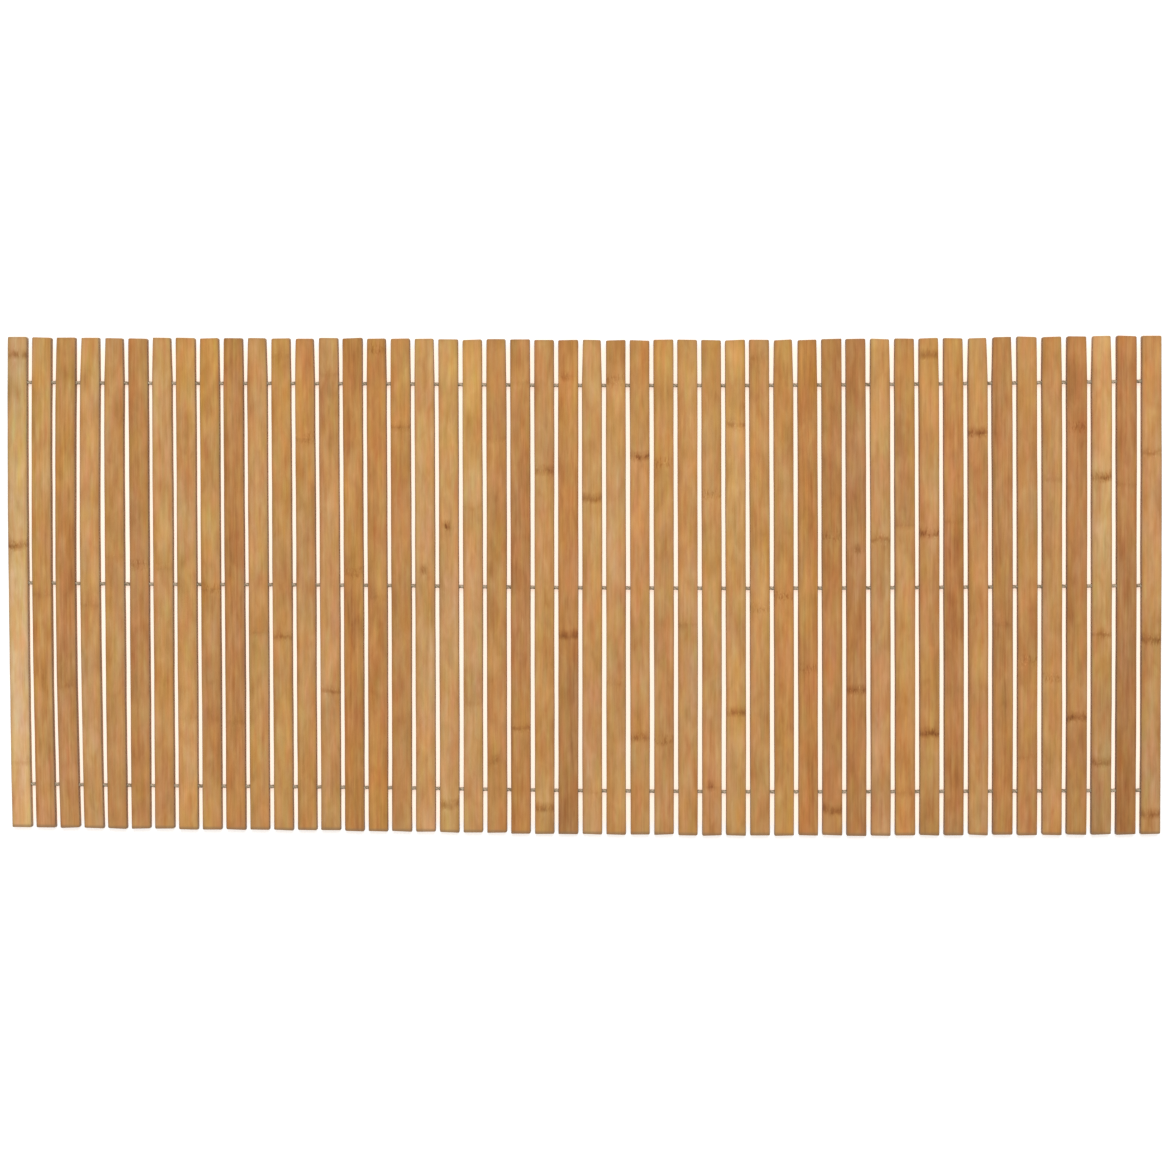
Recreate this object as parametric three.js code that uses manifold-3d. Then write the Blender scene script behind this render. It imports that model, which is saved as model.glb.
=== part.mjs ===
// A roll-out bamboo floor mat: flat bamboo slats, cross-drilled and threaded side by side on three cords.
// Millimetres, +Z up. The mat lies flat on z = 0, its slats run along Y and its cords along X.
// Slats are numbered from the -X end. "Back" is +Y, "front" is -Y.
import * as THREE from "three";
import { mergeVertices } from "three/addons/utils/BufferGeometryUtils.js";
import Module from "manifold-3d";

const wasm = await Module();
wasm.setup();

// Driving dimensions
const SLAT_COUNT = 48;
const SLAT_LENGTH = 500;
const SLAT_WIDTH = 20;
const SLAT_THICKNESS = 7;
const GAP = 4.3;
const PITCH = SLAT_WIDTH + GAP;

// Sanded edges and corners of a slat
const EDGE_EASE = 0.9;
const CORNER_EASE = 1.6;

// Cords, and the cross-drilled holes that they run through at half the slat's thickness
const CORD_DIAMETER = 4;
const BORE_CLEARANCE = 0.4;
const BORE_SIDES = 8;
const CORD_SIDES = 8;
const CORD_STEPS = 48;
const CORD_HEIGHT = SLAT_THICKNESS / 2;
const CORD_LINES = [
  { name: "cord_back", y: 204.5 },
  { name: "cord_middle", y: 0 },
  { name: "cord_front", y: -206 },
];

// The end slats are drilled blind from their inner edge, so that no cord end shows.
const BLIND_WALL = 5;
const CORD_END_GAP = 0.4;

// How the mat lies. Each row is one slat, and the slats between two rows are placed evenly between them.
// along and across: how far the slat's centre is shifted along X and Y;
// lean: how far its front end stands to +X of its back end;
// bow: how far its middle stands to +X of its ends.
const LAY = [
  { slat: 1, along: -2.8, across: 1.0, lean: 1.6, bow: -1.5 },
  { slat: 3, along: -2.8, across: 0.4, lean: 1.2, bow: -2.8 },
  { slat: 4, along: -1.9, across: 0.0, lean: 1.2, bow: -2.3 },
  { slat: 6, along: 0.4, across: -0.4, lean: 0.7, bow: 0.0 },
  { slat: 12, along: 0.9, across: -1.0, lean: 1.4, bow: 0.0 },
  { slat: 17, along: 0.9, across: -1.8, lean: 0.9, bow: 0.3 },
  { slat: 20, along: 0.8, across: -2.8, lean: 0.7, bow: 0.2 },
  { slat: 24, along: 0.3, across: -3.8, lean: 0.2, bow: 0.0 },
  { slat: 31, along: -0.6, across: -4.4, lean: 1.9, bow: 0.3 },
  { slat: 36, along: -1.0, across: -3.9, lean: 2.6, bow: 0.3 },
  { slat: 42, along: -0.2, across: -2.7, lean: 3.1, bow: 0.6 },
  { slat: 48, along: 2.0, across: -1.1, lean: 1.9, bow: 0.5 },
];

// How unevenly the slats are cut, in a cycle that repeats along the mat.
// width: added to the slat's width; back and front: added to its length at each end.
const CUTS = [
  { width: 0.2, back: 0.4, front: -0.3 },
  { width: -0.1, back: -0.2, front: 0.2 },
  { width: 0.3, back: 0.0, front: 0.1 },
  { width: 0.0, back: 0.3, front: 0.4 },
  { width: -0.2, back: -0.4, front: -0.1 },
  { width: 0.1, back: 0.1, front: 0.0 },
  { width: -0.1, back: -0.1, front: 0.3 },
];
const CUT_STRIDE = 3;

// How much narrower a slat's ends are than its middle. Some slats narrow between the back cord and the end.
const FRONT_TAPER = 0.3;
const BACK_TAPERS = [
  { taper: 2.1, slats: [4, 5, 7, 11, 13, 25, 33, 41, 42, 46] },
  { taper: 1.1, slats: [3, 9, 10, 12, 14, 16, 17, 18, 21, 34, 37, 38, 39, 40, 44, 45] },
];
const SMALL_BACK_TAPER = 0.2;

const BAMBOO = new THREE.MeshStandardMaterial({ color: 0xbf8a52, roughness: 0.55, metalness: 0 });
const CORD = new THREE.MeshStandardMaterial({ color: 0xaea28c, roughness: 0.9, metalness: 0 });

const BACK_LINE = CORD_LINES[0];
const UP = new THREE.Vector3(0, 0, 1);

// How a slat lies, also for a number between two slats
function layAt(number) {
  const at = THREE.MathUtils.clamp(number, 1, SLAT_COUNT);
  const next = Math.max(1, LAY.findIndex((row) => row.slat >= at));
  const low = LAY[next - 1];
  const high = LAY[next];
  const share = (at - low.slat) / (high.slat - low.slat);
  const between = (column) => THREE.MathUtils.lerp(low[column], high[column], share);
  return { along: between("along"), across: between("across"), lean: between("lean"), bow: between("bow") };
}

function slatCentre(number) {
  const lay = layAt(number);
  return new THREE.Vector3((number - (SLAT_COUNT + 1) / 2) * PITCH + lay.along, lay.across, 0);
}

function slatTurn(number) {
  return Math.atan(layAt(number).lean / SLAT_LENGTH);
}

// Where a cord lies at a slat, and offset to +X of the slat's centre line
function cordPoint(line, number, offset = 0) {
  const point = new THREE.Vector3(offset, line.y, CORD_HEIGHT);
  return point.applyAxisAngle(UP, slatTurn(number)).add(slatCentre(number));
}

function toSolid(geometry) {
  const bare = geometry.clone();
  bare.deleteAttribute("normal");
  bare.deleteAttribute("uv");
  const merged = mergeVertices(bare, 1e-4);
  const mesh = new wasm.Mesh({
    numProp: 3,
    vertProperties: merged.attributes.position.array,
    triVerts: new Uint32Array(merged.index.array),
  });
  return new wasm.Manifold(mesh);
}

function toGeometry(solid) {
  const mesh = solid.getMesh();
  const geometry = new THREE.BufferGeometry();
  geometry.setAttribute("position", new THREE.BufferAttribute(mesh.vertProperties, 3));
  geometry.setIndex(new THREE.BufferAttribute(mesh.triVerts, 1));
  geometry.computeVertexNormals();
  return geometry;
}

function backTaper(number) {
  const group = BACK_TAPERS.find((row) => row.slats.includes(number));
  return group ? group.taper : SMALL_BACK_TAPER;
}

// One slat seen from above, about its own centre: a long bar with eased corners, bowed and tapered.
function slatOutline(number) {
  const cut = CUTS[(number * CUT_STRIDE) % CUTS.length];
  const { bow } = layAt(number);
  const backEnd = SLAT_LENGTH / 2 + cut.back;
  const frontEnd = -SLAT_LENGTH / 2 - cut.front;
  const fullWidth = SLAT_WIDTH + cut.width;
  const stations = [
    { y: frontEnd, width: fullWidth - FRONT_TAPER },
    { y: 0, width: fullWidth },
    { y: BACK_LINE.y, width: fullWidth },
    { y: backEnd, width: fullWidth - backTaper(number) },
  ];
  const centreX = (y) => -bow * (2 * y / SLAT_LENGTH) ** 2;
  const sidePoint = (station, side) =>
    new THREE.Vector2(centreX(station.y) + side * station.width / 2, station.y);
  const corner = (station, side, inward) => [
    sidePoint(station, side).add(new THREE.Vector2(-side * CORNER_EASE, 0)),
    sidePoint(station, side).add(new THREE.Vector2(0, inward * CORNER_EASE)),
  ];
  const front = stations[0];
  const back = stations[stations.length - 1];
  const inner = stations.slice(1, -1);
  return new THREE.Shape([
    ...corner(front, 1, 1),
    ...inner.map((station) => sidePoint(station, 1)),
    ...corner(back, 1, -1).reverse(),
    ...corner(back, -1, -1),
    ...inner.reverse().map((station) => sidePoint(station, -1)),
    ...corner(front, -1, 1).reverse(),
  ]);
}

// A straight hole along X, turned by angle in the slat's plane. An end slat's hole stops short of its
// outer edge.
function boreSolid(number, y, angle) {
  const overrun = 5;
  const length = SLAT_WIDTH + 2 * overrun;
  const blindDepth = BLIND_WALL + overrun;
  const shift = number === 1 ? blindDepth : number === SLAT_COUNT ? -blindDepth : 0;
  const radius = CORD_DIAMETER / 2 + BORE_CLEARANCE;
  const geometry = new THREE.CylinderGeometry(radius, radius, length, BORE_SIDES);
  geometry.rotateZ(-Math.PI / 2);
  geometry.translate(shift, 0, 0);
  geometry.rotateZ(angle);
  geometry.translate(0, y, CORD_HEIGHT);
  return toSolid(geometry);
}

function slatMesh(number) {
  const turn = slatTurn(number);
  const bar = new THREE.ExtrudeGeometry(slatOutline(number), {
    depth: SLAT_THICKNESS - 2 * EDGE_EASE,
    bevelThickness: EDGE_EASE,
    bevelSize: EDGE_EASE,
    bevelOffset: -EDGE_EASE,
    bevelSegments: 1,
  });
  bar.translate(0, 0, EDGE_EASE);
  const drilled = CORD_LINES.reduce((solid, line) => {
    const ahead = cordPoint(line, number + 0.5);
    const behind = cordPoint(line, number - 0.5);
    const slope = Math.atan2(ahead.y - behind.y, ahead.x - behind.x);
    return solid.subtract(boreSolid(number, line.y, slope - turn));
  }, toSolid(bar));
  const mesh = new THREE.Mesh(toGeometry(drilled), BAMBOO);
  mesh.name = `slat_${String(number).padStart(2, "0")}`;
  mesh.position.copy(slatCentre(number));
  mesh.rotation.z = turn;
  return mesh;
}

// A cord runs from the blind end of the first slat's hole to that of the last one's.
function cordMesh(line) {
  const reach = SLAT_WIDTH / 2 - BLIND_WALL - CORD_END_GAP;
  const points = [cordPoint(line, 1, -reach)];
  for (let number = 2; number < SLAT_COUNT; number += 1) points.push(cordPoint(line, number));
  points.push(cordPoint(line, SLAT_COUNT, reach));
  const route = new THREE.CatmullRomCurve3(points);
  const radius = CORD_DIAMETER / 2;
  const section = new THREE.Shape();
  for (let side = 0; side < CORD_SIDES; side += 1) {
    const angle = (side / CORD_SIDES) * 2 * Math.PI;
    const x = radius * Math.cos(angle);
    const y = radius * Math.sin(angle);
    if (side === 0) section.moveTo(x, y);
    else section.lineTo(x, y);
  }
  section.closePath();
  const geometry = new THREE.ExtrudeGeometry(section, { steps: CORD_STEPS, extrudePath: route });
  const mesh = new THREE.Mesh(toGeometry(toSolid(geometry)), CORD);
  mesh.name = line.name;
  return mesh;
}

const mat = new THREE.Group();
for (let number = 1; number <= SLAT_COUNT; number += 1) mat.add(slatMesh(number));
for (const line of CORD_LINES) mat.add(cordMesh(line));

// The origin is the middle of the mat's underside.
const middle = new THREE.Box3().setFromObject(mat).getCenter(new THREE.Vector3());
mat.position.set(-middle.x, -middle.y, 0);

const part = new THREE.Group();
part.add(mat);

export default part;
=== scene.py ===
"""A roll-out bamboo slat mat, laid flat on a pale floor and seen from above.

Every slat of the CAD frame gets a finer mesh in its own place: eased and slightly uneven edges, nodes,
sawn ends and round bores. Every cord gets its three twisted strands. Lengths are in metres. The charts
number the slats from the -X end and give places along a slat in millimetres. Back is +Y, front is -Y.
"""
import math
import random

import bpy
import numpy as np
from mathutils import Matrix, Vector


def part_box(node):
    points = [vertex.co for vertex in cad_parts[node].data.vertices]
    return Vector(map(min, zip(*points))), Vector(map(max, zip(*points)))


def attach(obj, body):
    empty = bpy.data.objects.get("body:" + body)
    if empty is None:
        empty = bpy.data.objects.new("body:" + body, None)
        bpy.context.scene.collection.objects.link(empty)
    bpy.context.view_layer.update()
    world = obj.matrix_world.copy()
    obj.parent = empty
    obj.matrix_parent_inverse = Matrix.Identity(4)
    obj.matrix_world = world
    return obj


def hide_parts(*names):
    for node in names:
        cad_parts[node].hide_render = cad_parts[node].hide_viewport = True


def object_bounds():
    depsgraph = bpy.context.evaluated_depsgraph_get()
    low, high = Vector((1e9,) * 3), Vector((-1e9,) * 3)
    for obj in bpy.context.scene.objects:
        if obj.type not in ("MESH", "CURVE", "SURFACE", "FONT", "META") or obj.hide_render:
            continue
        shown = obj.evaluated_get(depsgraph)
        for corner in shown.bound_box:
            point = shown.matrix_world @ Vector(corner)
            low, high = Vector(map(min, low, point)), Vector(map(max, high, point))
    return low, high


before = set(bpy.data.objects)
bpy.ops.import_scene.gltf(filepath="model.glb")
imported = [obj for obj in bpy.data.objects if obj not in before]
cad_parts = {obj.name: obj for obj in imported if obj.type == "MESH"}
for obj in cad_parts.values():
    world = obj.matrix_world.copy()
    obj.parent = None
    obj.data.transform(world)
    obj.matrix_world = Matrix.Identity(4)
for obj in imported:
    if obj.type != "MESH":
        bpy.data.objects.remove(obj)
cad_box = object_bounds()

MM = 0.001
SLAT_COUNT = 48
SLATS = [f"slat_{number:02d}" for number in range(1, SLAT_COUNT + 1)]
CORDS = ["cord_back", "cord_middle", "cord_front"]

# Sizes that the solids have
SLAT_LENGTH = 500 * MM
SLAT_THICKNESS = 7 * MM
EDGE_EASE = 0.9 * MM
CORNER_EASE = 1.6 * MM
RIM_TOLERANCE = 0.03 * MM
RING_GAP = 2 * MM
CORD_HEIGHT = 3.5 * MM
BORE_RADIUS = 2.4 * MM
BLIND_WALL = 5 * MM

# The photograph's view: a camera above the mat, a little off its middle
PHOTO_WIDTH = 1170
CAMERA_PLACE = (71.1 * MM, 47.0 * MM, 2000 * MM)
CAMERA_TURN = (-1.332, 1.885, -0.006)
FOCAL_PIXELS = 1972.8
SENSOR_WIDTH = 36.0

# What colour each slat is. Fade lightens or darkens it evenly towards its front end.
TONES = [
    {"tone": "pale", "colour": "D0A671", "slats": [1]},
    {"tone": "light", "colour": "C59358", "slats": [4, 8, 18, 19, 20, 31, 46]},
    {"tone": "honey", "colour": "C18E55", "slats": [2, 7, 11, 14, 25, 29, 37, 48]},
    {"tone": "golden", "colour": "BF8A4F",
     "slats": [5, 9, 12, 13, 23, 26, 27, 28, 30, 32, 33, 38, 39, 41, 44]},
    {"tone": "tan", "colour": "BB844B", "slats": [3, 6, 16, 17, 21, 43]},
    {"tone": "brown", "colour": "B88047", "slats": [10, 15, 22, 24, 34, 35, 40, 42, 45]},
    {"tone": "russet", "colour": "B17944", "slats": [36, 47]},
]
FADES = [
    {"fade": 0.14, "slats": [1]},
    {"fade": -0.06, "slats": [15, 20, 31, 39, 40, 43]},
    {"fade": -0.12, "slats": [24, 46, 47]},
]
# How much blue there is in a slat against its tone, and how much of it each metre from the middle loses
BLUENESS = [
    {"blue": 0.92, "slats": [15, 16, 33, 34]},
    {"blue": 1.09, "slats": [4, 18, 46, 48]},
]
BLUE_MIDDLE = 1.03
BLUE_LOSS_TO_BACK = 0.55
BLUE_LOSS_TO_FRONT = 0.15
# Some slats show their fibres more than others.
STREAKY_SLATS = [2, 3, 10, 15, 22, 24, 34, 36, 40, 42, 47]
STREAKY = 1.3
CALM = 0.8
# How much a culm's parts differ in tone from one node to the next
SEGMENT_SPREAD = 0.045

# The nodes that show on each slat. Place is along the slat, from its middle towards its back end.
# Look: a line is a thin dark arc, a band is a broad brown one, and a strong one is both. Specks are
# short dark dashes. A spot or a knot takes only a part of the slat's width.
NODES = [
    {"slat": 1, "nodes": [(232, "band"), (38, "strong"), (-184, "faint")]},
    {"slat": 2, "nodes": [(-11, "faint")]},
    {"slat": 3, "nodes": [(-105, "faint")]},
    {"slat": 4, "nodes": [(-22, "faint")]},
    {"slat": 5, "nodes": [(28, "faint")]},
    {"slat": 6, "nodes": [(20, "specks")]},
    {"slat": 7, "nodes": [(16, "faint")]},
    {"slat": 8, "nodes": [(-137, "faint")]},
    {"slat": 9, "nodes": [(-4, "specks")]},
    {"slat": 10, "nodes": [(-140, "faint")]},
    {"slat": 11, "nodes": [(-48, "faint")]},
    {"slat": 12, "nodes": [(232, "faint"), (-53, "line")]},
    {"slat": 13, "nodes": [(149, "specks")]},
    {"slat": 14, "nodes": [(213, "faint"), (-108, "line")]},
    {"slat": 15, "nodes": [(13, "specks")]},
    {"slat": 16, "nodes": [(239, "specks"), (-12, "faint")]},
    {"slat": 17, "nodes": [(161, "line")]},
    {"slat": 18, "nodes": [(16, "spot")]},
    {"slat": 19, "nodes": [(61, "knot"), (-222, "band")]},
    {"slat": 20, "nodes": [(80, "faint"), (-118, "faint")]},
    {"slat": 21, "nodes": [(149, "faint"), (-176, "spot")]},
    {"slat": 22, "nodes": [(208, "faint"), (-143, "line")]},
    {"slat": 23, "nodes": [(118, "band"), (-224, "band")]},
    {"slat": 24, "nodes": [(213, "spot"), (-48, "stain")]},
    {"slat": 25, "nodes": [(90, "band"), (-207, "faint")]},
    {"slat": 26, "nodes": [(210, "specks"), (-96, "faint")]},
    {"slat": 27, "nodes": [(133, "strong"), (-151, "band")]},
    {"slat": 28, "nodes": [(126, "specks"), (-155, "specks")]},
    {"slat": 29, "nodes": [(-36, "faint")]},
    {"slat": 30, "nodes": [(95, "specks"), (-200, "knot")]},
    {"slat": 31, "nodes": [(165, "line"), (-125, "band")]},
    {"slat": 32, "nodes": [(232, "faint"), (-20, "specks")]},
    {"slat": 33, "nodes": [(-7, "specks")]},
    {"slat": 34, "nodes": [(-81, "specks")]},
    {"slat": 35, "nodes": [(52, "specks"), (-225, "band")]},
    {"slat": 36, "nodes": [(39, "spot"), (-103, "strong")]},
    {"slat": 37, "nodes": [(49, "line")]},
    {"slat": 38, "nodes": [(62, "faint"), (-207, "faint")]},
    {"slat": 39, "nodes": [(233, "band"), (54, "strong"), (-147, "strong")]},
    {"slat": 40, "nodes": [(67, "faint")]},
    {"slat": 41, "nodes": [(155, "strong")]},
    {"slat": 42, "nodes": [(-38, "faint")]},
    {"slat": 43, "nodes": [(-74, "specks"), (-171, "faint")]},
    {"slat": 44, "nodes": [(108, "faint"), (-91, "specks")]},
    {"slat": 45, "nodes": [(159, "specks"), (-132, "strong")]},
    {"slat": 46, "nodes": [(109, "strong"), (-49, "line"), (-177, "band")]},
    {"slat": 47, "nodes": [(102, "faint")]},
    {"slat": 48, "nodes": [(133, "line"), (-54, "strong"), (-230, "band")]},
]
# How strongly each look shows, in the order line, band, specks. Faint shows little of all three.
LOOKS = {
    "line": (1.0, 0.4, 0.4),
    "band": (0.6, 1.0, 0.5),
    "specks": (0.2, 0.25, 1.0),
    "faint": (0.3, 0.15, 0.25),
    "strong": (0.9, 1.1, 0.8),
    "stain": (0.1, 1.5, 0.3),
    "spot": (0.4, 1.1, 0.8),
    "knot": (0.8, 1.4, 1.1),
}
PARTIAL_LOOKS = ["spot", "knot"]
PARTIAL_WIDTH = 0.4
MOST_PARTIAL_SHIFT = 0.5
# A node's line is tilted, and bent like a bow. The bow crosses the node's place where the squared share
# across the slat is the bend level.
NODE_BENDS = (-1.2 * MM, 2.2 * MM)
BEND_LEVEL = 0.4
NODE_TILT = 0.9 * MM
# A node's marks fade over the last part of their reach.
MARK_REACH = 13 * MM
MARK_FADE = 4 * MM

# The bamboo's patterns, each a sum of noise layers. A scale is in cycles for each metre across, along
# and through the slat.
FINE_FIBRES = {"scale": (1000, 36, 1000), "roughness": 0.6}
STREAKS = [
    {"scale": (300, 6, 300), "weight": 0.42},
    {"scale": (400, 28, 400), "weight": 0.36},
    {**FINE_FIBRES, "weight": 0.2},
]
HAIRS = [{"scale": (3600, 30, 3600), "roughness": 0.6, "weight": 0.26}]
PATCHES = [
    {"scale": (26, 6, 26), "detail": 1, "weight": 0.3},
    {"scale": (70, 21, 70), "distortion": 0.3, "weight": 0.8},
    {"scale": (140, 50, 140), "distortion": 0.5, "weight": 0.44},
]
BROAD_WARMTH = {"scale": (30, 5, 30), "detail": 1}
WARMTH = [
    {**BROAD_WARMTH, "weight": 0.28},
    {"scale": (95, 24, 95), "distortion": 0.4, "weight": 0.42},
    {"scale": (260, 24, 260), "detail": 1, "weight": 0.26},
]
YELLOWNESS = [
    {**BROAD_WARMTH, "weight": 0.26},
    {"scale": (21, 4, 21), "detail": 1, "weight": 0.62},
    {"scale": (80, 20, 80), "distortion": 0.4, "weight": 0.66},
    {"scale": (220, 36, 220), "detail": 1, "weight": 0.42},
]
NODE_WOBBLE = [
    {"scale": (170, 30, 170), "weight": 4 * MM},
    {"scale": (900, 60, 900), "detail": 1, "weight": 3 * MM},
]
BUNDLES = {"scale": (2300, 50, 2300), "detail": 1}
NODE_BREAKS = {"scale": (160, 50, 160)}
NODE_DASHES = {"scale": (620, 170, 620), "distortion": 0.6}
NODE_GLINTS = {"scale": (700, 260, 700), "detail": 1}
CUT_BUNDLES = {"scale": (1100, 20, 1100)}

# Where each mark is nothing and where it is full, and then how weak and how strong it may be
BUNDLE_RANGE = (0.6, 0.76)
BREAK_RANGE = (0.34, 0.6, 0.4, 1.0)
DASH_RANGE = (0.5, 0.66)
GLINT_RANGE = (0.6, 0.72)
LINE_EDGES = (3.2 * MM, 0.2 * MM)
BAND_BACK_EDGE = (8.5 * MM, 1.5 * MM)
BAND_FRONT_EDGE = (-6.5 * MM, -1.0 * MM)
DASH_EDGES = (9.5 * MM, 1.5 * MM)
END_FACE_RANGE = (0.55, 0.85)
CUT_BUNDLE_RANGE = (-0.03, 0.09, 0.1, 0.75)
CROWDING = (0.66, 0.50)

# How much light each kind of mark takes away
BUNDLE_DEPTH = 0.1
BAND_DEPTH = 0.32
LINE_DEPTH = 0.2
DASH_DEPTH = 0.26
GLINT_DEPTH = -0.2
END_GRAIN_DEPTH = 0.6
LEAST_LIGHT = 0.2

# How each channel follows the bamboo's lightness and warmth: what is darker is also redder
RED_POWER = 0.68
GREEN_POWER = 1.055
BLUE_POWER = 1.62
RED_WARMTH = 0.4
COOL_WARMTH = -0.6

# Painted shade at the slats' ends and along their long edges: how strongly it shows, where it begins and is
# full, and in what colour
FRONT_END_SHADE = 0.65
BACK_END_DARKENING = 0.16
END_FACE_SHADE_SHARE = 0.3
SOFT_RIM_SHADE = 0.2
RIM_SHADE = 0.44
FRONT_EDGES = (4.5 * MM, 1.2 * MM)
BACK_EDGES = (3.0 * MM, 0.8 * MM)
SOFT_RIM_EDGES = (0.58, 0.95)
RIM_EDGES = (0.86, 0.99)
RIM_FIBRES = (0.3, 0.6, 0.5, 1.0)
END_SHADE_COLOUR = "846C51"
SOFT_RIM_SHADE_COLOUR = "80592F"
RIM_SHADE_COLOUR = "7A6960"

# The bamboo's finish
BAMBOO_ROUGHNESS = 0.50
FIBRE_ROUGHNESS = 0.16
BAMBOO_SPECULAR = 0.28
BUNDLE_RELIEF = 0.5
GRAIN_DEPTH = 0.12 * MM
GRAIN_STRENGTH = 0.55

# The cords' fibres and finish
CORD_FIBRES = {"scale": (2600, 170, 2600), "detail": 3, "roughness": 0.65}
CORD_DIRT = {"scale": (300, 60, 300)}
CORD_FIBRE_RANGE = (0.32, 0.7)
CORD_DIRT_RANGE = (0.44, 0.62, 0.0, 0.75)
CORD_ROUGHNESS = (0.2, 0.8, 0.82, 0.98)
CORD_DARK = "97846B"
CORD_LIGHT = "E6D5BB"
CORD_DIRT_COLOUR = "7E6B4C"
CORD_SPECULAR = 0.2
CORD_SHEEN = 0.25
CORD_FIBRE_DEPTH = 0.15 * MM
CORD_FIBRE_STRENGTH = 0.7

# Fine shape of a slat
LONG_STEP = 4.0 * MM
NODE_STEP = 1.2 * MM
NODE_REACH = 8 * MM
NODE_RISE = 0.16 * MM
NODE_WIDTH = 2.4 * MM
NODE_ARCH = 1.6 * MM
NODE_DIP = 0.6
NODE_DIP_PLACE = 1.9
CROWN = 0.08 * MM
WAVER = 0.13 * MM
WAVE_LENGTHS = (0.31, 0.13, 0.055)
WAVE_STRENGTHS = (0.4, 1.0)
WAVE_DECAY = 0.6
EASE_SHARE = 0.85
EASE_SWING = 0.2
EASE_WAVE = 70 * MM
EASE_PHASES = (0, 6)
LEAST_EASES_IN_HEIGHT = 2.2
END_EASE = 0.6 * MM
CORNERS = (0.7 * MM, 1.7 * MM)
END_ROWS = [0.0, 0.06, 0.18, 0.34, 0.6, 1.0, 1.6, 2.4]
FIRST_LONG_ROW = 6 * MM
LAST_LONG_ROW = 5 * MM
SKEW_REACH = 30 * MM
MOST_SKEW = 0.45 * MM
BORE_SIDES = 24
BORE_OVERRUN = 4 * MM
SHARP_ANGLE = 42

# Each slat is another piece of the same pattern, this far on across and along, with draws of its own.
PATTERN_SHIFT = (0.37, 1.91)
SEED_STEP = 101

# Cords
CORD_RADIUS = 2 * MM
STRANDS = 3
STRAND_RADIUS = 1.18 * MM
STRAND_SIDES = 8
STRAND_LAY = 12 * MM
STEPS_PER_TURN = 12
STRAND_PATTERN_SHIFT = 0.1

# The floor out in the open and under the mat: its own colour, and how it glows. The glow under the mat is
# painted light: warm and bright, it lifts the shade between the slats.
FLOOR_SIZE = 30.0
FLOOR_HEIGHT = -0.1 * MM
OPEN_FLOOR = (0.86, 0.86, 0.85, 1)
UNDER_FLOOR = (0.5, 0.5, 0.49, 1)
OPEN_GLOW = (0.42, 0.42, 0.42, 1)
UNDER_MAT_PAINTED_LIGHT = (0.82, 0.635, 0.505, 1)
GLOW_EDGE = 5 * MM
GLOW_FADE = 14 * MM
FLOOR_ROUGHNESS = 0.9
FLOOR_SPECULAR = 0.1

LIGHTS = [
    {"name": "back_light", "place": (0.3, 2.2, 2.8), "size": 2.4, "power": 68},
    {"name": "front_light", "place": (-0.5, -1.8, 2.8), "size": 2.6, "power": 22},
]
SKY_COLOUR = (1.0, 0.995, 0.985, 1)
SKY_STRENGTH = 0.5


def linear(hex_colour):
    """An sRGB colour such as "C49256" as linear red, green and blue"""
    channels = [int(hex_colour[at:at + 2], 16) / 255 for at in (0, 2, 4)]
    return tuple(c / 12.92 if c <= 0.04045 else ((c + 0.055) / 1.055) ** 2.4 for c in channels)


def row_of(chart, number, key, otherwise):
    """The value that a chart gives for a slat"""
    return next((row[key] for row in chart if number in row["slats"]), otherwise)


def add_mesh(name, vertices, faces):
    mesh = bpy.data.meshes.new(name)
    mesh.from_pydata(vertices, [], faces)
    mesh.update()
    piece = bpy.data.objects.new(name, mesh)
    bpy.context.scene.collection.objects.link(piece)
    return piece


def write_attribute(mesh, name, values):
    """Stores one vector for each vertex"""
    layer = mesh.attributes.new(name, "FLOAT_VECTOR", "POINT")
    layer.data.foreach_set("vector", np.asarray(values, np.float32).ravel())


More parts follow.
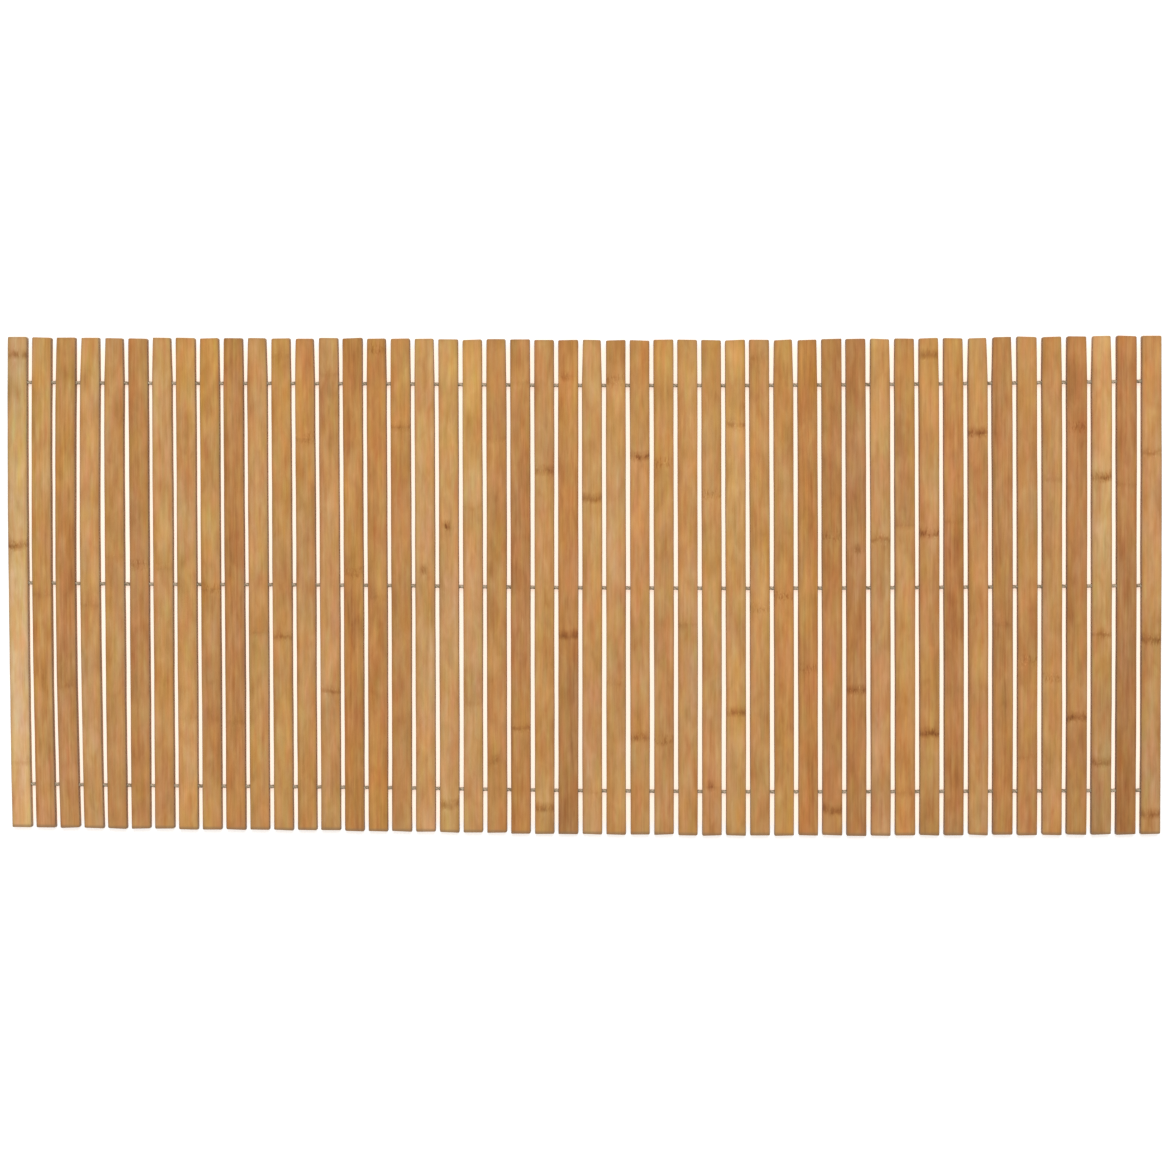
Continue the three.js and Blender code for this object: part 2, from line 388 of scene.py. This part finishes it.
class Graph:
    """A material's nodes, added one call each. A socket is linked, and any other value is set."""

    def __init__(self, name):
        self.material = bpy.data.materials.new(name)
        self.material.use_nodes = True
        self.tree = self.material.node_tree
        self.shader = self.tree.nodes["Principled BSDF"]

    def put(self, socket, value):
        if isinstance(value, bpy.types.NodeSocket):
            self.tree.links.new(value, socket)
        else:
            socket.default_value = value

    def node(self, kind, inputs=(), **settings):
        node = self.tree.nodes.new(kind)
        for key, value in settings.items():
            setattr(node, key, value)
        for key, value in dict(inputs).items():
            self.put(node.inputs[key], value)
        return node

    def math(self, operation, *values):
        return self.node("ShaderNodeMath", dict(enumerate(values)), operation=operation).outputs[0]

    def sum(self, first, *others):
        for value in others:
            first = self.math("ADD", first, value)
        return first

    def product(self, first, *others):
        for value in others:
            first = self.math("MULTIPLY", first, value)
        return first

    def stretch(self, vector, scale):
        """The vector with each part multiplied by its own scale"""
        inputs = {0: vector, 1: scale}
        return self.node("ShaderNodeVectorMath", inputs, operation="MULTIPLY").outputs[0]

    def noise(self, vector, scale, detail=2.0, roughness=0.5, distortion=0.0):
        inputs = {
            "Vector": self.stretch(vector, scale), "Scale": 1.0, "Detail": detail,
            "Roughness": roughness, "Distortion": distortion,
        }
        return self.node("ShaderNodeTexNoise", inputs).outputs["Fac"]

    def sway(self, vector, layers):
        """The sum of noise layers, each brought round zero and multiplied by its weight"""
        total = 0.0
        for layer in layers:
            settings = {key: value for key, value in layer.items() if key != "weight"}
            middle = self.math("ADD", total, -0.5 * layer["weight"])
            total = self.math("MULTIPLY_ADD", self.noise(vector, **settings), layer["weight"], middle)
        return total

    def fit(self, value, low, high, to_low=0.0, to_high=1.0, smooth=True):
        """The value moved from one range to another, and kept inside it"""
        kind = "SMOOTHSTEP" if smooth else "LINEAR"
        inputs = {"Value": value, "From Min": low, "From Max": high, "To Min": to_low, "To Max": to_high}
        return self.node("ShaderNodeMapRange", inputs, interpolation_type=kind).outputs["Result"]

    def blend(self, factor, first, second, kind="MIX"):
        node = self.node("ShaderNodeMix", data_type="RGBA", blend_type=kind, clamp_factor=True)
        self.put(node.inputs[0], factor)
        self.put(node.inputs[6], first)
        self.put(node.inputs[7], second)
        return node.outputs[2]

    def stain(self, colour, strength, hex_colour):
        """The colour, mixed towards another one"""
        return self.blend(strength, colour, (*linear(hex_colour), 1))

    def attribute(self, name):
        return self.node("ShaderNodeAttribute", attribute_name=name).outputs["Vector"]

    def split(self, vector):
        return self.node("ShaderNodeSeparateXYZ", {0: vector}).outputs

    def bump(self, height, distance, strength):
        inputs = {"Height": height, "Distance": distance, "Strength": strength}
        return self.node("ShaderNodeBump", inputs).outputs[0]


def node_marks(g, place, gap):
    """How much light a node's broken lines, brown bands and short dashes take away, and the dashes alone"""
    line, band, specks = g.split(g.attribute("node_look"))
    from_node = g.sum(gap, g.sway(place, NODE_WOBBLE))
    away = g.math("ABSOLUTE", from_node)
    broken = g.fit(g.noise(place, **NODE_BREAKS), *BREAK_RANGE)
    lines = g.product(g.fit(away, *LINE_EDGES), line, broken)
    inside = g.product(g.fit(from_node, *BAND_BACK_EDGE), g.fit(from_node, *BAND_FRONT_EDGE))
    bands = g.product(inside, band, broken)
    near = g.fit(away, *DASH_EDGES)
    dashes = g.product(near, g.fit(g.noise(place, **NODE_DASHES), *DASH_RANGE), specks)
    glints = g.product(near, g.fit(g.noise(place, **NODE_GLINTS), *GLINT_RANGE), g.sum(line, specks))
    depth = g.sum(
        g.product(bands, BAND_DEPTH), g.product(lines, LINE_DEPTH),
        g.product(dashes, DASH_DEPTH), g.product(glints, GLINT_DEPTH),
    )
    return depth, dashes


def sawn_ends(g, place):
    """Where a sawn end is, and how much light its cut bundles take away: they crowd under the upper face"""
    facing = g.math("ABSOLUTE", g.split(g.node("ShaderNodeNewGeometry").outputs["Normal"])[1])
    end_face = g.fit(facing, *END_FACE_RANGE)
    crowding = g.fit(g.split(place)[2], 0.0, SLAT_THICKNESS, *CROWDING, smooth=False)
    dots = g.math("SUBTRACT", g.noise(place, **CUT_BUNDLES), crowding)
    grain = g.product(end_face, g.fit(dots, *CUT_BUNDLE_RANGE))
    return end_face, g.product(grain, END_GRAIN_DEPTH)


def bamboo_hue(g, place, light):
    """The slat's tone, lightened or darkened. It also wanders between reddish, plain and yellowish."""
    warmth = g.sway(place, WARMTH)
    cool = g.math("MULTIPLY_ADD", warmth, COOL_WARMTH, 1.0)
    red = g.product(g.math("POWER", light, RED_POWER), g.math("MULTIPLY_ADD", warmth, RED_WARMTH, 1.0))
    green = g.product(g.math("POWER", light, GREEN_POWER), cool)
    less_blue = g.math("SUBTRACT", 1.0, g.sway(place, YELLOWNESS))
    blue = g.product(g.math("POWER", light, BLUE_POWER), cool, less_blue)
    own = g.node("ShaderNodeCombineXYZ", {0: red, 1: green, 2: blue}).outputs[0]
    return g.blend(1.0, g.attribute("tone"), own, "MULTIPLY")


def painted_end_and_edge_shade(g, colour, across, fine, end_face):
    """Painted shade: the long edges darken where they are eased, and the front ends, turned from the light
    at the back, darken most; the back ends darken a little
    """
    to_front, to_back, unused = g.split(g.attribute("end_place"))
    # Painted shade at the front ends, a lighter darkening at the back ends, and less of both on the end
    # faces
    front = g.fit(to_front, *FRONT_EDGES, 0.0, FRONT_END_SHADE)
    back = g.fit(to_back, *BACK_EDGES, 0.0, BACK_END_DARKENING)
    on_end = g.math("MULTIPLY_ADD", end_face, END_FACE_SHADE_SHARE - 1, 1.0)
    colour = g.stain(colour, g.product(g.math("MAXIMUM", front, back), on_end), END_SHADE_COLOUR)
    # Painted shade along both long edges: a broad soft band, then a thin rim broken by the fibres
    side = g.math("ABSOLUTE", across)
    colour = g.stain(colour, g.product(g.fit(side, *SOFT_RIM_EDGES), SOFT_RIM_SHADE), SOFT_RIM_SHADE_COLOUR)
    rim = g.product(g.fit(side, *RIM_EDGES), g.fit(fine, *RIM_FIBRES))
    return g.stain(colour, g.product(rim, RIM_SHADE), RIM_SHADE_COLOUR)


def bamboo_material():
    """Split, planed and oiled bamboo: fibres along the slat, darker nodes across it, soft blotches"""
    g = Graph("oiled_bamboo")
    place = g.attribute("place")
    gap, across, streaky = g.split(g.attribute("node_place"))
    fine = g.noise(place, **FINE_FIBRES)
    hairs = g.sway(place, HAIRS)
    bundles = g.fit(g.noise(place, **BUNDLES), *BUNDLE_RANGE)
    light = g.sum(
        g.sway(place, PATCHES), g.product(g.sway(place, STREAKS), streaky), hairs,
        g.product(bundles, -BUNDLE_DEPTH), 1.0,
    )
    node_depth, dashes = node_marks(g, place, gap)
    end_face, end_depth = sawn_ends(g, place)
    kept = g.math("SUBTRACT", 1.0, g.sum(node_depth, end_depth))
    light = g.math("MAXIMUM", g.product(light, kept), LEAST_LIGHT)
    colour = painted_end_and_edge_shade(g, bamboo_hue(g, place, light), across, fine, end_face)
    g.put(g.shader.inputs["Base Color"], colour)
    rough = g.sum(g.product(g.sum(fine, dashes), FIBRE_ROUGHNESS), BAMBOO_ROUGHNESS)
    g.put(g.shader.inputs["Roughness"], rough)
    g.shader.inputs["Specular IOR Level"].default_value = BAMBOO_SPECULAR
    relief = g.math("SUBTRACT", g.sum(fine, hairs), g.sum(g.product(bundles, BUNDLE_RELIEF), dashes))
    g.put(g.shader.inputs["Normal"], g.bump(relief, GRAIN_DEPTH, GRAIN_STRENGTH))
    return g.material


def cord_material():
    """A matt cord of twisted plant fibre"""
    g = Graph("twisted_cord")
    place = g.attribute("place")
    fibres = g.noise(place, **CORD_FIBRES)
    dirt = g.fit(g.noise(place, **CORD_DIRT), *CORD_DIRT_RANGE)
    colour = g.stain((*linear(CORD_DARK), 1), g.fit(fibres, *CORD_FIBRE_RANGE), CORD_LIGHT)
    g.put(g.shader.inputs["Base Color"], g.stain(colour, dirt, CORD_DIRT_COLOUR))
    g.put(g.shader.inputs["Roughness"], g.fit(fibres, *CORD_ROUGHNESS))
    g.shader.inputs["Specular IOR Level"].default_value = CORD_SPECULAR
    g.shader.inputs["Sheen Weight"].default_value = CORD_SHEEN
    g.put(g.shader.inputs["Normal"], g.bump(fibres, CORD_FIBRE_DEPTH, CORD_FIBRE_STRENGTH))
    return g.material


def slat_plan(node):
    """A slat's two sides, read from its solid: y, left x and right x at each station from front to back"""
    points = np.array([vertex.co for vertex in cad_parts[node].data.vertices])
    rim = np.unique(np.round(points[np.abs(points[:, 2] - EDGE_EASE) < RIM_TOLERANCE], 6), axis=0)
    front, back = rim[:, 1].min(), rim[:, 1].max()
    inside = (rim[:, 1] > front + CORNER_EASE / 2) & (rim[:, 1] < back - CORNER_EASE / 2)
    sides = rim[inside]
    sides = sides[np.argsort(sides[:, 1])].reshape(-1, 2, 3)
    return front, back, sides[:, :, 1].mean(1), sides[:, :, 0].min(1), sides[:, :, 0].max(1)


def cord_route(node):
    """A cord's centre line, read from the rings of its solid"""
    points = np.array([vertex.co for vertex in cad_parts[node].data.vertices])
    points = np.unique(np.round(points, 6), axis=0)
    points = points[np.argsort(points[:, 0])]
    breaks = np.flatnonzero(np.diff(points[:, 0]) > RING_GAP) + 1
    return np.array([ring.mean(0) for ring in np.split(points, breaks)])


def corner_inset(depth, radius):
    """How far a rounded corner stands in from the side, at a depth from the end"""
    left = np.clip(radius - depth, 0, radius)
    return radius - np.sqrt(radius ** 2 - left ** 2)


def ring_pattern():
    """The points round a slat's section: share across, ease across, share up, ease up"""
    rows = []

    def arc(start, across, up):
        for step in range(4):
            angle = math.radians(start + 30 * step)
            rows.append((across, math.cos(angle), up, math.sin(angle)))

    rows += [(share / 4, 0, 0, -1) for share in (1, 2, 3)]
    arc(-90, 1, 0)
    rows += [(1, 1, share / 3, 0) for share in (1, 2)]
    arc(0, 1, 1)
    rows += [(1 - share / 6, 0, 1, 1) for share in (1, 2, 3, 4, 5)]
    arc(90, 0, 1)
    rows += [(0, -1, 1 - share / 3, 0) for share in (1, 2)]
    arc(180, 0, 0)
    return np.array(rows)


def wavy(places, draw, size):
    """A smooth uneven line: waves of unlike lengths"""
    line = np.zeros_like(places)
    for length in WAVE_LENGTHS:
        phase = draw.uniform(0, 2 * math.pi)
        line += size * draw.uniform(*WAVE_STRENGTHS) * np.sin(2 * math.pi * places / length + phase)
        size *= WAVE_DECAY
    return line


def slat_rows(front, back, node_places):
    """Where the slat's sections stand along it: closer together at its ends and nodes"""
    apart = NODE_REACH + NODE_STEP / 2
    rows = [row for row in np.arange(front + FIRST_LONG_ROW, back - LAST_LONG_ROW, LONG_STEP)
            if all(abs(row - place) > apart for place in node_places)]
    for place in node_places:
        rows += list(place + np.arange(-NODE_REACH, NODE_REACH, NODE_STEP))
    last = END_ROWS[-1] * MM
    rows = [row for row in rows if front + last + MM < row < back - last - MM]
    rows += [front + depth * MM for depth in END_ROWS] + [back - depth * MM for depth in END_ROWS]
    return np.unique(np.round(rows, 6))


def upper_relief(y, share, node_places):
    """How far the upper face stands out: a slight crown, and at each node a low ridge beside a dip"""
    rise = CROWN * (1 - share ** 2)
    for place in node_places:
        away = (y[:, None] - place - NODE_ARCH * share ** 2) / NODE_WIDTH
        ridge = np.exp(-away ** 2) - NODE_DIP * np.exp(-(away + NODE_DIP_PLACE) ** 2)
        rise = rise + NODE_RISE * ridge
    return rise


def tube_faces(rows, sides):
    """The faces of a closed bar whose sections follow each other, as lists of vertex numbers"""
    faces = []
    for row in range(rows - 1):
        for side in range(sides):
            following = (side + 1) % sides
            faces.append((row * sides + side, row * sides + following,
                          (row + 1) * sides + following, (row + 1) * sides + side))
    faces.append(tuple(range(sides - 1, -1, -1)))
    faces.append(tuple(range((rows - 1) * sides, rows * sides)))
    return faces


def uneven_sides(y, middle, depth, centre, half, draw):
    """Where the slat's left and right side run: each corner has a radius of its own, each side its waves"""
    left_corner = np.where(y > middle, draw.uniform(*CORNERS), draw.uniform(*CORNERS))
    right_corner = np.where(y > middle, draw.uniform(*CORNERS), draw.uniform(*CORNERS))
    left = centre - half + corner_inset(depth, left_corner) + wavy(y, draw, WAVER)
    right = centre + half - corner_inset(depth, right_corner) + wavy(y, draw, WAVER)
    return left, right


def section_points(left, right, low, high, ease):
    """The x and z of the points round each section, between its sides, with its edges eased"""
    across, ease_across, up, ease_up = RING.T
    left, right, low, high, ease = (line[:, None] for line in (left, right, low, high, ease))
    x = (left + ease) * (1 - across) + (right - ease) * across + ease * ease_across
    z = (low + ease) * (1 - up) + (high - ease) * up + ease * ease_up
    return x, z


def end_skew(y, middle, depth, draw):
    """How far each section is turned, measured at its side: the sawn ends are not quite square"""
    back_skew, front_skew = (draw.uniform(-MOST_SKEW, MOST_SKEW) for end in range(2))
    return np.where(y > middle, back_skew, front_skew) * np.clip(1 - depth / SKEW_REACH, 0, 1)


def slat_body(number, node, draw):
    """The slat before it is drilled, and what its material needs to know of its shape"""
    front, back, stations, left, right = slat_plan(node)
    middle = (front + back) / 2
    centre_curve = np.polyfit(stations, (left + right) / 2, 2)
    halves = (right - left) / 2
    chart = next(row["nodes"] for row in NODES if row["slat"] == number)
    node_places = [middle + place * MM for place, look in chart]
    y = slat_rows(front, back, node_places)
    centre = np.polyval(centre_curve, y)
    half = np.interp(y, stations, halves)
    depth = np.minimum(y - front, back - y)

    left_x, right_x = uneven_sides(y, middle, depth, centre, half, draw)
    phase = draw.uniform(*EASE_PHASES)
    ease = EDGE_EASE * (EASE_SHARE + EASE_SWING * np.sin(y / EASE_WAVE + phase))
    low = corner_inset(depth, np.full_like(y, END_EASE))
    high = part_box(node)[1].z - low
    ease = np.minimum(ease, (high - low) / LEAST_EASES_IN_HEIGHT)
    x, z = section_points(left_x, right_x, low, high, ease)
    share = (x - centre[:, None]) / half[:, None]
    on_top = np.clip(RING[:, 3], 0, 1)
    z = z + upper_relief(y, share, node_places) * on_top
    long = y[:, None] + end_skew(y, middle, depth, draw)[:, None] * share

    vertices = np.stack([x, long, z], axis=-1).reshape(-1, 3)
    body = add_mesh(f"bamboo_{node}", vertices.tolist(), tube_faces(len(y), len(RING)))
    return body, (middle, centre_curve, stations, halves, chart)


def bore_cutter(number, node):
    """The three holes of one slat as one mesh of cylinders along the cords. An end slat's are blind."""
    low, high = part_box(node)
    start = low.x + BLIND_WALL if number == 1 else low.x - BORE_OVERRUN
    end = high.x - BLIND_WALL if number == SLAT_COUNT else high.x + BORE_OVERRUN
    vertices, faces = [], []
    for route in ROUTES.values():
        first = len(vertices)
        for x in (start, end):
            y = np.interp(x, route[:, 0], route[:, 1])
            for side in range(BORE_SIDES):
                angle = 2 * math.pi * side / BORE_SIDES
                away, up = BORE_RADIUS * math.cos(angle), BORE_RADIUS * math.sin(angle)
                vertices.append((x, y + away, CORD_HEIGHT + up))
        faces += [tuple(first + corner for corner in face) for face in tube_faces(2, BORE_SIDES)]
    return add_mesh("bore_cutter", vertices, faces)


def drill(body, cutter):
    """Cuts the bores, and leaves the result as the body's plain mesh"""
    cut = body.modifiers.new("bores", "BOOLEAN")
    cut.operation = "DIFFERENCE"
    cut.solver = "EXACT"
    cut.object = cutter
    bpy.context.view_layer.update()
    drilled = bpy.data.meshes.new_from_object(body.evaluated_get(bpy.context.evaluated_depsgraph_get()))
    body.modifiers.clear()
    plain = body.data
    body.data = drilled
    bpy.data.meshes.remove(plain)
    bpy.data.objects.remove(cutter)


def slat_tone(number, y, middle, chart, draw):
    """The slat's colour at each point: it changes along the slat, and a little at each node"""
    fade = row_of(FADES, number, "fade", 0)
    towards_front = np.clip(0.5 - (y - middle) / SLAT_LENGTH, 0, 1)
    light = 1 + 2 * fade * (towards_front - 0.5)
    places = np.sort([middle + place * MM for place, look in chart])
    levels = [draw.uniform(1 - SEGMENT_SPREAD, 1 + SEGMENT_SPREAD) for part in range(len(places) + 1)]
    for place, before, after in zip(places, levels, levels[1:]):
        light = light * np.where(y > place, after / before, 1)
    lengths = np.diff([y.min(), *places, y.max()])
    light = light * levels[0] / np.average(levels, weights=lengths)

    along = y - middle
    lost = BLUE_LOSS_TO_BACK * np.clip(along, 0, None) - BLUE_LOSS_TO_FRONT * np.clip(along, None, 0)
    blue = row_of(BLUENESS, number, "blue", 1) * (BLUE_MIDDLE - lost)
    colour = np.array(linear(row_of(TONES, number, "colour", None)))
    return light[:, None] * colour * np.stack([np.ones_like(y), np.ones_like(y), blue], axis=-1)


def nearest_node(y, share, middle, chart, draw):
    """How far each point is from the nearest node's bent line, and how strongly that node shows there"""
    gaps, looks = [], []
    for place, kind in chart:
        bend = draw.uniform(*NODE_BENDS)
        tilt = draw.uniform(-NODE_TILT, NODE_TILT)
        shift = draw.uniform(-MOST_PARTIAL_SHIFT, MOST_PARTIAL_SHIFT)
        gap = y - middle - place * MM - bend * (share ** 2 - BEND_LEVEL) - tilt * share
        near = np.clip((MARK_REACH - np.abs(gap)) / MARK_FADE, 0, 1)
        if kind in PARTIAL_LOOKS:
            near = near * np.exp(-((share - shift) / PARTIAL_WIDTH) ** 2)
        gaps.append(gap)
        looks.append(near[:, None] * LOOKS[kind])
    nearest = np.abs(gaps).argmin(0)
    every = np.arange(len(y))
    gap = np.clip(np.array(gaps)[nearest, every], -MARK_REACH, MARK_REACH)
    return gap, np.array(looks)[nearest, every]


def dress_slat(number, body, shape, draw):
    """Stores where each point lies on the slat, for the bamboo's fibres, tone, nodes and the painted shade
    at its ends and edges
    """
    middle, centre_curve, stations, halves, chart = shape
    mesh = body.data
    points = np.zeros(len(mesh.vertices) * 3)
    mesh.vertices.foreach_get("co", points)
    x, y, z = points.reshape(-1, 3).T
    off_centre = x - np.polyval(centre_curve, y)
    share = off_centre / np.interp(y, stations, halves)
    pattern_x = off_centre + PATTERN_SHIFT[0] * number
    pattern_y = y - middle + PATTERN_SHIFT[1] * number
    write_attribute(mesh, "place", np.stack([pattern_x, pattern_y, z], axis=-1))
    write_attribute(mesh, "tone", slat_tone(number, y, middle, chart, draw))
    gap, look = nearest_node(y, share, middle, chart, draw)
    streaky = np.full_like(gap, STREAKY if number in STREAKY_SLATS else CALM)
    write_attribute(mesh, "node_place", np.stack([gap, share, streaky], axis=-1))
    write_attribute(mesh, "node_look", look)
    write_attribute(mesh, "end_place", np.stack([y - y.min(), y.max() - y, np.zeros_like(y)], axis=-1))


def make_slat(number, node, material):
    draw = random.Random(number * SEED_STEP)
    body, shape = slat_body(number, node, draw)
    drill(body, bore_cutter(number, node))
    body.data.shade_smooth()
    body.data.set_sharp_from_angle(angle=math.radians(SHARP_ANGLE))
    dress_slat(number, body, shape, draw)
    body.data.materials.clear()
    body.data.materials.append(material)
    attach(body, "root")
    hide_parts(node)


def strand_rings(route, strand):
    """The sections of one strand that winds round the cord's centre line, and where they stand along X"""
    length = route[-1, 0] - route[0, 0]
    turns = round(length / STRAND_LAY)
    x = np.linspace(route[0, 0], route[-1, 0], turns * STEPS_PER_TURN + 1)
    y = np.interp(x, route[:, 0], route[:, 1])
    turn = 2 * math.pi * turns * (x - x[0]) / length + 2 * math.pi * strand / STRANDS
    radius = CORD_RADIUS - STRAND_RADIUS
    slope = 2 * math.pi * radius / STRAND_LAY
    outward = np.stack([np.zeros_like(turn), np.cos(turn), np.sin(turn)], axis=-1)
    around = np.stack([np.full_like(turn, -slope), -np.sin(turn), np.cos(turn)], axis=-1)
    around /= np.linalg.norm(around, axis=1)[:, None]
    centre = np.stack([x, y, np.full_like(x, CORD_HEIGHT)], axis=-1) + radius * outward
    out_share, around_share = np.cos(STRAND_ANGLES)[None, :, None], np.sin(STRAND_ANGLES)[None, :, None]
    section = out_share * outward[:, None, :] + around_share * around[:, None, :]
    return centre[:, None, :] + STRAND_RADIUS * section, x


def make_cord(cord, material):
    """Three strands twisted round the cord's centre line"""
    vertices, faces, places = [], [], []
    for strand in range(STRANDS):
        first = len(vertices)
        rings, x = strand_rings(ROUTES[cord], strand)
        vertices += rings.reshape(-1, 3).tolist()
        girth = np.tile(STRAND_ANGLES, len(x)) * STRAND_RADIUS + STRAND_PATTERN_SHIFT * strand
        places += np.stack([girth, np.repeat(x, STRAND_SIDES), 0 * girth], axis=-1).tolist()
        faces += [tuple(first + corner for corner in face) for face in tube_faces(len(x), STRAND_SIDES)]
    piece = add_mesh(f"strands_{cord}", vertices, faces)
    piece.data.shade_smooth()
    write_attribute(piece.data, "place", places)
    piece.data.materials.append(material)
    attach(piece, "root")
    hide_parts(cord)


def add_camera():
    data = bpy.data.cameras.new("camera")
    data.sensor_width = SENSOR_WIDTH
    data.sensor_fit = "HORIZONTAL"
    data.lens = SENSOR_WIDTH * FOCAL_PIXELS / PHOTO_WIDTH
    camera = bpy.data.objects.new("camera", data)
    camera.location = CAMERA_PLACE
    camera.rotation_euler = [math.radians(turn) for turn in CAMERA_TURN]
    bpy.context.scene.collection.objects.link(camera)
    bpy.context.scene.camera = camera


def add_floor():
    """A white floor that glows faintly. Under the mat it glows brighter and warmer, painted light that
    lifts the shade between the slats to cream, and its own colour there is darker.
    """
    corners = [(-1, -1), (1, -1), (1, 1), (-1, 1)]
    vertices = [(x * FLOOR_SIZE, y * FLOOR_SIZE, FLOOR_HEIGHT) for x, y in corners]
    floor = add_mesh("floor", vertices, [(0, 1, 2, 3)])
    g = Graph("pale_floor")
    g.shader.inputs["Roughness"].default_value = FLOOR_ROUGHNESS
    g.shader.inputs["Specular IOR Level"].default_value = FLOOR_SPECULAR
    x, y, z = g.split(g.node("ShaderNodeNewGeometry").outputs["Position"])
    end, edge = cad_box[1].x - GLOW_EDGE, cad_box[1].y - GLOW_EDGE
    along = g.fit(g.math("ABSOLUTE", x), end, end - GLOW_FADE)
    across = g.fit(g.math("ABSOLUTE", y), edge, edge - GLOW_FADE)
    under = g.product(along, across)
    g.put(g.shader.inputs["Base Color"], g.blend(under, OPEN_FLOOR, UNDER_FLOOR))
    # Under the mat the glow is painted light that fills the shade in the gaps between the slats
    g.put(g.shader.inputs["Emission Color"], g.blend(under, OPEN_GLOW, UNDER_MAT_PAINTED_LIGHT))
    g.shader.inputs["Emission Strength"].default_value = 1
    floor.data.materials.append(g.material)


def add_area_light(name, place, size, power):
    data = bpy.data.lights.new(name, "AREA")
    data.shape = "SQUARE"
    data.size = size
    data.energy = power
    light = bpy.data.objects.new(name, data)
    light.location = place
    light.rotation_euler = (Vector((0, 0, 0)) - Vector(place)).to_track_quat("-Z", "Y").to_euler()
    bpy.context.scene.collection.objects.link(light)


def add_lights():
    """Soft studio light, mostly from beyond the mat's back edge"""
    for row in LIGHTS:
        add_area_light(**row)
    world = bpy.data.worlds.new("studio")
    world.use_nodes = True
    world.node_tree.nodes["Background"].inputs["Color"].default_value = SKY_COLOUR
    world.node_tree.nodes["Background"].inputs["Strength"].default_value = SKY_STRENGTH
    bpy.context.scene.world = world


RING = ring_pattern()
ROUTES = {cord: cord_route(cord) for cord in CORDS}
STRAND_ANGLES = 2 * math.pi * np.arange(STRAND_SIDES) / STRAND_SIDES

bpy.context.scene.view_settings.view_transform = "Standard"
add_camera()
bamboo = bamboo_material()
for slat_number, slat_node in enumerate(SLATS, start=1):
    make_slat(slat_number, slat_node, bamboo)
twisted = cord_material()
for cord_node in CORDS:
    make_cord(cord_node, twisted)
add_floor()
add_lights()
